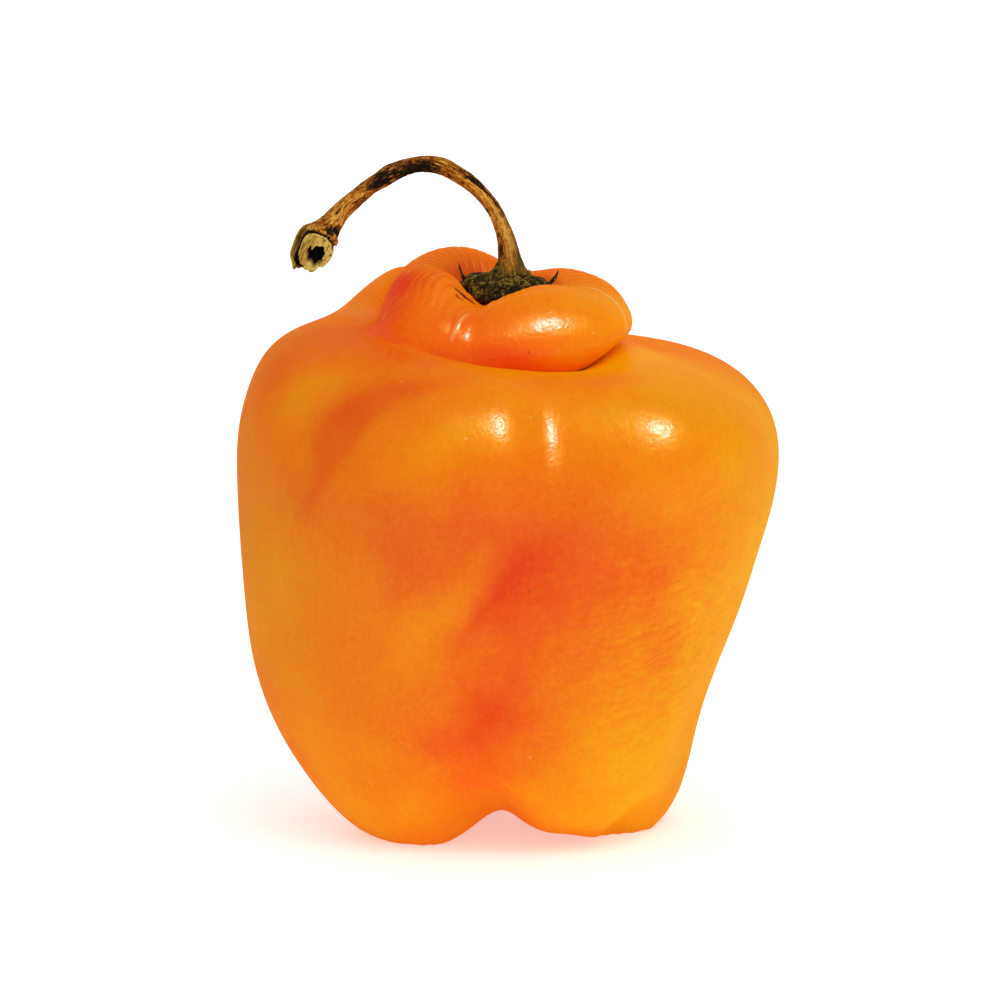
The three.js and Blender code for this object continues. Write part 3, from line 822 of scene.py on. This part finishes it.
# Places across the torn end: outwards from the arch, and towards the front.
across_end = radius * np.cos(angle) + into_hollow * HOLLOW_SHIFT * math.cos(HOLLOW_ANGLE)
across_end = across_end - CUP_SHIFT * cup_wall
front_end = radius * np.sin(angle) + into_hollow * HOLLOW_SHIFT * math.sin(HOLLOW_ANGLE)
across_slit = (across_end - SLIT_PLACE[0]) / SLIT_SIZE[0]
front_slit = (front_end - SLIT_PLACE[1]) / SLIT_SIZE[1]
slit = np.exp(-(across_slit**2) - front_slit**2) * (end_row > rim_row)
sponge_place = np.stack((across_end, front_end, np.zeros_like(along)), -1)
inner_strip = np.clip((across_end - 0.25) / 0.4, 0, 1) * face
spongy = face * np.clip(radius / 0.8, 0, 1) * (1 - 0.8 * inner_strip) * rumple(sponge_place, 0.5, 54)
lean = CUT_LEAN * (across_end * math.cos(CUT_ANGLE) + front_end * math.sin(CUT_ANGLE)) / STEM_END[RIM_KNOT][1]
along = along - np.where(end_row > rim_row, 1, cup_wall) * lean - near_rim * ragged
along = along - PITH_RELIEF * spongy - SLIT_DEPTH * slit
end_angle = np.where(end_row > 0, np.arctan2(front_end, across_end), angle)
end_radius = np.where(end_row > 0, np.hypot(front_end, across_end), radius)
stem_points = stand_on_stem(end_angle, along, end_radius)
# Where the bark is pale, brown or dark: angle round the stem, spread, distance along it, reach, gain.
BARK_PATCHES = {
    "foot tan": (90, 32, 3.5, 3.5, 0.30),
    # The two light streaks are painted highlights that run along the stalk.
    "painted highlight streak": (74, 14, 7.5, 4.0, 0.34),
    "painted highlight streak high": (84, 20, 12.0, 2.5, 0.22),
    "outer edge dark": (48, 12, 10.5, 3.2, -0.60),
    "inner edge brown": (140, 30, 5.0, 4.0, -0.12),
    "dark belly": (124, 34, 19.6, 3.0, -0.62),
    "dark belly end": (84, 34, 23.8, 1.5, -0.56),
    "top tan": (24, 40, 19.0, 4.0, 0.12),
    "scar tan": (92, 18, 26.0, 0.7, 0.40),
    "scar edge": (110, 10, 27.6, 0.5, -0.40),
    "scar edge high": (70, 12, 29.6, 0.5, -0.40),
    "end tan": (88, 40, 30.2, 1.8, 0.30),
    "end black": (128, 20, 32.2, 0.5, -0.70),
    "end black small": (108, 14, 33.0, 0.35, -0.55),
    "back dark": (270, 60, 20.0, 12.0, -0.20),
}
wander = 0.16 * rumple(unrolled, 0.7, 55) + 0.14 * rumple(unrolled, 0.22, 58)
bark_shade = 0.56 + 0.05 * rumple(unrolled, 1.2, 56)
for centre, spread, at, reach, gain in BARK_PATCHES.values():
    bark_shade += gain * share_at(angle + wander, along + 3 * wander, centre, spread, at, reach)
# The groove between collar and cup is dark under a pale lip; painted shade darkens the cup's wall behind the
# flake.
LIP_BACK = 2.3
LIP_REACH = 0.12
GROOVE_REACH = 0.17
FLAKE_ANGLE = math.radians(312)
groove = np.exp(-(((back - CUP_LENGTH) / GROOVE_REACH) ** 2)) * (end_row > 0)
lip = np.exp(-(((back - LIP_BACK) / LIP_REACH) ** 2)) * (end_row > 0)
shade_behind_flake_paint = np.clip((np.cos(angle - FLAKE_ANGLE) - 0.6) / 0.1, 0, 1)
shade_behind_flake_paint = shade_behind_flake_paint * (end_row > 0) * (end_row < rim_row - 3)
bark_shade += 0.25 * lip - 0.7 * groove - 0.8 * shade_behind_flake_paint * (back < 2)
# The foot and the outer edge above it are still green.
green = share_at(angle, along, 20, 34, 2.0, 4.5) + 0.8 * share_at(angle, along, 200, 80, 0.0, 1.6)
green += 0.7 * np.exp(-((along / 1.1) ** 2))
# The pale pith shows over the rim, furthest down the wall at the upper front.
pith_start = 4 + 16 * np.clip(np.cos(angle - math.radians(55)), 0, 1)
pith = np.clip((end_row - rim_row + pith_start) / 4, 0, 1)
# Painted shade: the hollow and the slit are painted dark.
painted_hollow_shade = np.clip((end_row - rim_row - HOLLOW_ROWS) / 8, 0, 1) + 1.3 * np.clip(slit - 0.3, 0, 1)
streaks = np.stack((across_end * 1.6, front_end * 0.3, np.zeros_like(along)), -1)
stem = closed_mesh(
    "stem_bark",
    stem_points,
    {
        "grain": np.where(face[..., None] > 0, streaks, unrolled),
        "bark_shade": np.clip(bark_shade, 0, 1),
        "green": np.clip(green, 0, 1),
        "pith": pith,
        "pith_strip": inner_strip,
        "painted_hollow_shade": np.clip(painted_hollow_shade, 0, 1),
        "lengthwise": stand_on_stem(angle, along + 0.1, radius) - stand_on_stem(angle, along - 0.1, radius),
    },
)

BARK_BLACK = (20, 15, 5)
BARK_DARK = (60, 37, 10)
BARK_BROWN = (142, 74, 16)
BARK_TAN = (206, 128, 36)
BARK_PALE = (240, 184, 84)
BARK_GREEN = (78, 80, 24)
PITH_PALE = (240, 210, 112)
PITH_OLIVE = (178, 144, 56)
PITH_SHADE = (110, 72, 22)
HOLLOW_SHADE_COLOR = (14, 9, 5)
bark_material, tree = new_material("corky_stem_bark")
place = add_node(tree, "ShaderNodeTexCoord").outputs["Object"]
grain_place = named_value(tree, "grain", "Vector")
fibres = noise(tree, grain_place, 4.2, 4, 0.7, 0.6)
flecks = noise(tree, place, 1700, 3, 0.7)
bark_tone = calculate(tree, "MULTIPLY_ADD", fibres, 1.15, calculate(tree, "MULTIPLY", flecks, 0.75))
bark_tone = calculate(tree, "SUBTRACT", bark_tone, 0.95)
bark_tone = calculate(tree, "ADD", bark_tone, named_value(tree, "bark_shade"))
bark_tone = calculate(tree, "ADD", bark_tone, named_value(tree, "sliver_tone"))
bark_color = color_ramp(
    tree, bark_tone, {0.14: BARK_BLACK, 0.32: BARK_DARK, 0.48: BARK_BROWN, 0.66: BARK_TAN, 0.90: BARK_PALE}
)
green_share = calculate(tree, "MULTIPLY", named_value(tree, "green"), step_between(tree, fibres, 0.36, 0.56))
bark_color = blend_colors(tree, "MIX", green_share, bark_color, paint(*BARK_GREEN))
pores = noise(tree, place, 2600, 3, 0.7)
pith_color = color_ramp(tree, pores, {0.34: PITH_SHADE, 0.40: PITH_OLIVE, 0.51: PITH_PALE})
strip_color = color_ramp(tree, fibres, {0.34: PITH_SHADE, 0.48: PITH_OLIVE, 0.66: PITH_PALE})
pith_color = blend_colors(tree, "MIX", named_value(tree, "pith_strip"), pith_color, strip_color)
stem_color = blend_colors(tree, "MIX", named_value(tree, "pith"), bark_color, pith_color)
# Painted shade in the hollow, the slit and the gap behind the flake.
stem_color = blend_colors(tree, "MIX", named_value(tree, "painted_hollow_shade"), stem_color, paint(*HOLLOW_SHADE_COLOR))
bark_bump = add_node(tree, "ShaderNodeBump", {"Strength": 0.9, "Distance": 0.0003, "Height": bark_tone})
finish_material(
    tree,
    {
        "Base Color": stem_color,
        "Roughness": 0.8,
        "Specular IOR Level": 0.03,
        "Normal": bark_bump.outputs[0],
    },
)
stem.data.materials.append(bark_material)
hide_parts("stem")
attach(stem, "root")

# Bark slivers: small scales of dead bark that lie lengthwise all over the stalk, each a little proud of it.
# They are strewn over the stem's own surface, each a little lighter or darker than the bark under it.
SLIVERS_PER_SQUARE_MM = 12.0
SLIVER_SIZE = (0.34, 0.05, 0.035)
# Shares of that size, at the least and at the most.
SLIVER_LEAST = (0.4, 0.6, 0.5)
SLIVER_MOST = (1.8, 1.5, 1.3)
SLIVER_TONE = 0.3
SLIVER_SEED = 12
TONE_SEED = 7
sliver_tree = bpy.data.node_groups.new("bark_slivers", "GeometryNodeTree")
sliver_sockets = {}
for label, kind in (
    ("Bark", "NodeSocketGeometry"),
    ("Slivers per square metre", "NodeSocketFloat"),
    ("Size", "NodeSocketVector"),
    ("Seed", "NodeSocketInt"),
    ("Material", "NodeSocketMaterial"),
):
    socket = sliver_tree.interface.new_socket(label, in_out="INPUT", socket_type=kind)
    sliver_sockets[label] = socket.identifier
sliver_tree.interface.new_socket("Slivers", in_out="OUTPUT", socket_type="NodeSocketGeometry")
given = add_node(sliver_tree, "NodeGroupInput").outputs


def stem_attribute(name, kind):
    node = add_node(sliver_tree, "GeometryNodeInputNamedAttribute", {"Name": name}, data_type=kind)
    return node.outputs["Attribute"]


on_bark = add_node(
    sliver_tree,
    "FunctionNodeCompare",
    {"A": stem_attribute("pith", "FLOAT"), "B": 0.05},
    operation="LESS_THAN",
).outputs["Result"]
strewn = add_node(
    sliver_tree,
    "GeometryNodeDistributePointsOnFaces",
    {
        "Mesh": given["Bark"],
        "Selection": on_bark,
        "Density": given["Slivers per square metre"],
        "Seed": given["Seed"],
    },
    distribute_method="RANDOM",
)
facing = add_node(
    sliver_tree, "FunctionNodeAlignRotationToVector", {"Vector": strewn.outputs["Normal"]}, axis="Z"
).outputs[0]
facing = add_node(
    sliver_tree,
    "FunctionNodeAlignRotationToVector",
    {"Rotation": facing, "Vector": stem_attribute("lengthwise", "FLOAT_VECTOR")},
    axis="X",
    pivot_axis="Z",
).outputs[0]
shape = add_node(sliver_tree, "GeometryNodeMeshIcoSphere", {"Radius": 1.0, "Subdivisions": 1}).outputs["Mesh"]
shape = add_node(sliver_tree, "GeometryNodeSetShadeSmooth", {"Geometry": shape}).outputs[0]
spread = add_node(
    sliver_tree,
    "FunctionNodeRandomValue",
    {"Min": SLIVER_LEAST, "Max": SLIVER_MOST, "Seed": given["Seed"]},
    data_type="FLOAT_VECTOR",
).outputs["Value"]
size = add_node(
    sliver_tree, "ShaderNodeVectorMath", {0: given["Size"], 1: spread}, operation="MULTIPLY"
).outputs[0]
laid = add_node(
    sliver_tree,
    "GeometryNodeInstanceOnPoints",
    {"Points": strewn.outputs["Points"], "Instance": shape, "Rotation": facing, "Scale": size},
).outputs[0]
tone = add_node(
    sliver_tree,
    "FunctionNodeRandomValue",
    {2: -SLIVER_TONE, 3: SLIVER_TONE, "Seed": TONE_SEED},
    data_type="FLOAT",
).outputs[1]
laid = add_node(
    sliver_tree,
    "GeometryNodeStoreNamedAttribute",
    {"Geometry": laid, "Name": "sliver_tone", "Value": tone},
    data_type="FLOAT",
    domain="INSTANCE",
).outputs[0]
laid = add_node(sliver_tree, "GeometryNodeRealizeInstances", {"Geometry": laid}).outputs[0]
laid = add_node(
    sliver_tree, "GeometryNodeSetMaterial", {"Geometry": laid, "Material": given["Material"]}
).outputs[0]
add_node(sliver_tree, "NodeGroupOutput", {"Slivers": laid})
slivers = bpy.data.objects.new("bark_slivers", stem.data.copy())
bpy.context.scene.collection.objects.link(slivers)
strewing = slivers.modifiers.new("strewing", "NODES")
strewing.node_group = sliver_tree
strewing[sliver_sockets["Slivers per square metre"]] = SLIVERS_PER_SQUARE_MM / MM**2
strewing[sliver_sockets["Size"]] = [side * MM for side in SLIVER_SIZE]
strewing[sliver_sockets["Seed"]] = SLIVER_SEED
strewing[sliver_sockets["Material"]] = bark_material
strewn_mesh = bpy.data.meshes.new_from_object(slivers.evaluated_get(bpy.context.evaluated_depsgraph_get()))
slivers.modifiers.clear()
slivers.data = strewn_mesh
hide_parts("stem")
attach(slivers, "root")

# The flake: a strip of bark on the far side of the torn end that came away from the cup's wall.
# It grows from the collar, stands a little clear of the cup, and curls in at its ragged tip.
FLAKE_HALF_WIDTH = math.radians(46)
FLAKE_THICKNESS = 0.3
FLAKE_AROUND = 72
FLAKE_GAP_END = math.radians(323)
# Distance back from the stem's tip, and the radius of the flake's middle there.
FLAKE_LINE = [
    (3.1, 1.6),
    (2.6, 2.2),
    (2.0, 2.5),
    (1.0, 2.62),
    (0.0, 2.62),
    (-0.8, 2.6),
    (-1.4, 2.35),
    (-1.8, 2.0),
]
flake_line = curve_through(np.array(FLAKE_LINE), 10)
flake_share = np.linspace(0, 1, len(flake_line))[:, None]
turn = np.linspace(0, 2 * math.pi, FLAKE_AROUND, endpoint=False)[None]
across = np.cos(turn) * (1 - 0.4 * flake_share**2)
across = across + 0.06 * flake_share * np.sin(9 * flake_share)
flake_angle = FLAKE_ANGLE + FLAKE_HALF_WIDTH * across
thickness = FLAKE_THICKNESS * (1 - 0.4 * flake_share)
flake_radius = flake_line[:, 1:] + 0.5 * thickness * np.tanh(3 * np.sin(turn))
tip_teeth = 0.22 * np.sin(7 * across + 1) + 0.16 * np.sin(15 * across)
flake_along = stem_length - flake_line[:, :1] + flake_share**3 * (tip_teeth - 0.9 * across**2)
flake_grain = np.stack((np.cos(flake_angle) * 1.3, np.sin(flake_angle) * 1.3, flake_along * 0.32), -1)
flake_radius = flake_radius + 0.04 * rumple(flake_grain, 0.5, 57)
flake_points = stand_on_stem(flake_angle, flake_along, flake_radius)
ends = np.repeat(flake_points[[0, -1]].mean(axis=1, keepdims=True), FLAKE_AROUND, axis=1)
flake_points = np.vstack((ends[:1], flake_points, ends[1:]))
repeat_ends = np.r_[0, 0 : len(flake_line), len(flake_line) - 1]
inner_side = np.repeat(np.clip(-2 * np.sin(turn), 0, 1), len(repeat_ends), axis=0)
# Painted shade on the flake's inner side, where it lies in the gap.
gap_painted_shade = inner_side * np.clip((FLAKE_GAP_END - flake_angle[repeat_ends]) / 0.06, 0, 1)
flake = closed_mesh(
    "bark_flake",
    flake_points,
    {
        "grain": flake_grain[repeat_ends],
        "bark_shade": np.full_like(inner_side, 0.5),
        "green": np.full_like(inner_side, 0.5),
        "pith": np.clip(0.6 + 0.6 * inner_side, 0, 1),
        "pith_strip": np.ones_like(inner_side),
        "painted_hollow_shade": gap_painted_shade,
    },
)
flake.data.materials.append(bark_material)
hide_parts("stem")
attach(flake, "root")

# The studio: a white sweep of floor and backdrop, round soft lamps high in front, and white all round.
# None of it is part of the pepper.
SWEEP_HALF_WIDTH = 1.5
SWEEP_FRONT = -1.2
SWEEP_TURN = 0.9
SWEEP_RADIUS = 0.5
SWEEP_TOP = 2.0
PAPER_GLOW = 0.4
ROOM_GLOW = 0.6
PEPPER_MIDDLE = 0.038
turn = np.linspace(0, math.pi / 2, 16)
sweep_y = [SWEEP_FRONT, *(SWEEP_TURN + SWEEP_RADIUS * np.sin(turn)), SWEEP_TURN + SWEEP_RADIUS]
sweep_z = [0.0, *(SWEEP_RADIUS * (1 - np.cos(turn))), SWEEP_TOP]
corners = [(x, y, z) for y, z in zip(sweep_y, sweep_z) for x in (-SWEEP_HALF_WIDTH, SWEEP_HALF_WIDTH)]
strips = [(2 * k, 2 * k + 1, 2 * k + 3, 2 * k + 2) for k in range(len(sweep_y) - 1)]
sweep_mesh = bpy.data.meshes.new("studio_sweep")
sweep_mesh.from_pydata([tuple(map(float, c)) for c in corners], [], strips)
sweep_mesh.shade_smooth()
sweep = bpy.data.objects.new("studio_sweep", sweep_mesh)
bpy.context.scene.collection.objects.link(sweep)
sweep_material, tree = new_material("white_paper")
finish_material(
    tree,
    {
        "Base Color": (0.92, 0.92, 0.92, 1),
        "Roughness": 0.9,
        "Emission Color": (1, 1, 1, 1),
        "Emission Strength": PAPER_GLOW,
    },
)
sweep_mesh.materials.append(sweep_material)

world = bpy.data.worlds.new("white_studio")
bpy.context.scene.world = world
world.use_nodes = True
world.node_tree.nodes["Background"].inputs["Color"].default_value = (1, 1, 1, 1)
world.node_tree.nodes["Background"].inputs["Strength"].default_value = ROOM_GLOW


def add_lamp(name, azimuth_degrees, elevation_degrees, distance, size, power):
    """A round soft lamp aimed at the pepper's middle."""
    lamp = bpy.data.lights.new(name, "AREA")
    lamp.shape = "DISK"
    lamp.size = size
    lamp.energy = power
    around = math.radians(azimuth_degrees)
    up = math.radians(elevation_degrees)
    holder = bpy.data.objects.new(name, lamp)
    holder.location = (
        distance * math.cos(up) * math.cos(around),
        distance * math.cos(up) * math.sin(around),
        PEPPER_MIDDLE + distance * math.sin(up),
    )
    holder.rotation_euler = (math.pi / 2 - up, 0, around + math.pi / 2)
    bpy.context.scene.collection.objects.link(holder)
    return holder


# The main lamp lights the skin. The gleam and the warm glow round it are what its gloss shows.
# Each lamp: azimuth, elevation, distance, size, power.
main_lamp = add_lamp("main_lamp", 288, 62, 1.1, 1.2, 3.6)
main_lamp.visible_glossy = False
gleam_lamp = add_lamp("gleam_lamp", 293, 58, 0.8, 0.2, 18.0)
gleam_lamp.visible_diffuse = False
glow_lamp = add_lamp("glow_lamp", 293, 58, 0.85, 0.75, 24.0)
glow_lamp.data.color = (1.0, 0.75, 0.05)
glow_lamp.visible_diffuse = False

# The camera: a long lens a little above the pepper's middle, looking straight at its front.
VIEW_ELEVATION = math.radians(9)
VIEW_DISTANCE = 0.7
VIEW_WIDTH = 0.115
VIEW_MIDDLE = (-0.0009, 0.0, 0.0379)
lens = bpy.data.cameras.new("front_camera")
lens.sensor_width = 36.0
lens.lens = lens.sensor_width * VIEW_DISTANCE / VIEW_WIDTH
lens.clip_start = 0.01
camera = bpy.data.objects.new("front_camera", lens)
camera.location = (
    VIEW_MIDDLE[0],
    VIEW_MIDDLE[1] - VIEW_DISTANCE * math.cos(VIEW_ELEVATION),
    VIEW_MIDDLE[2] + VIEW_DISTANCE * math.sin(VIEW_ELEVATION),
)
camera.rotation_euler = (math.pi / 2 - VIEW_ELEVATION, 0, 0)
bpy.context.scene.collection.objects.link(camera)
bpy.context.scene.camera = camera
bpy.context.scene.view_settings.view_transform = "Standard"
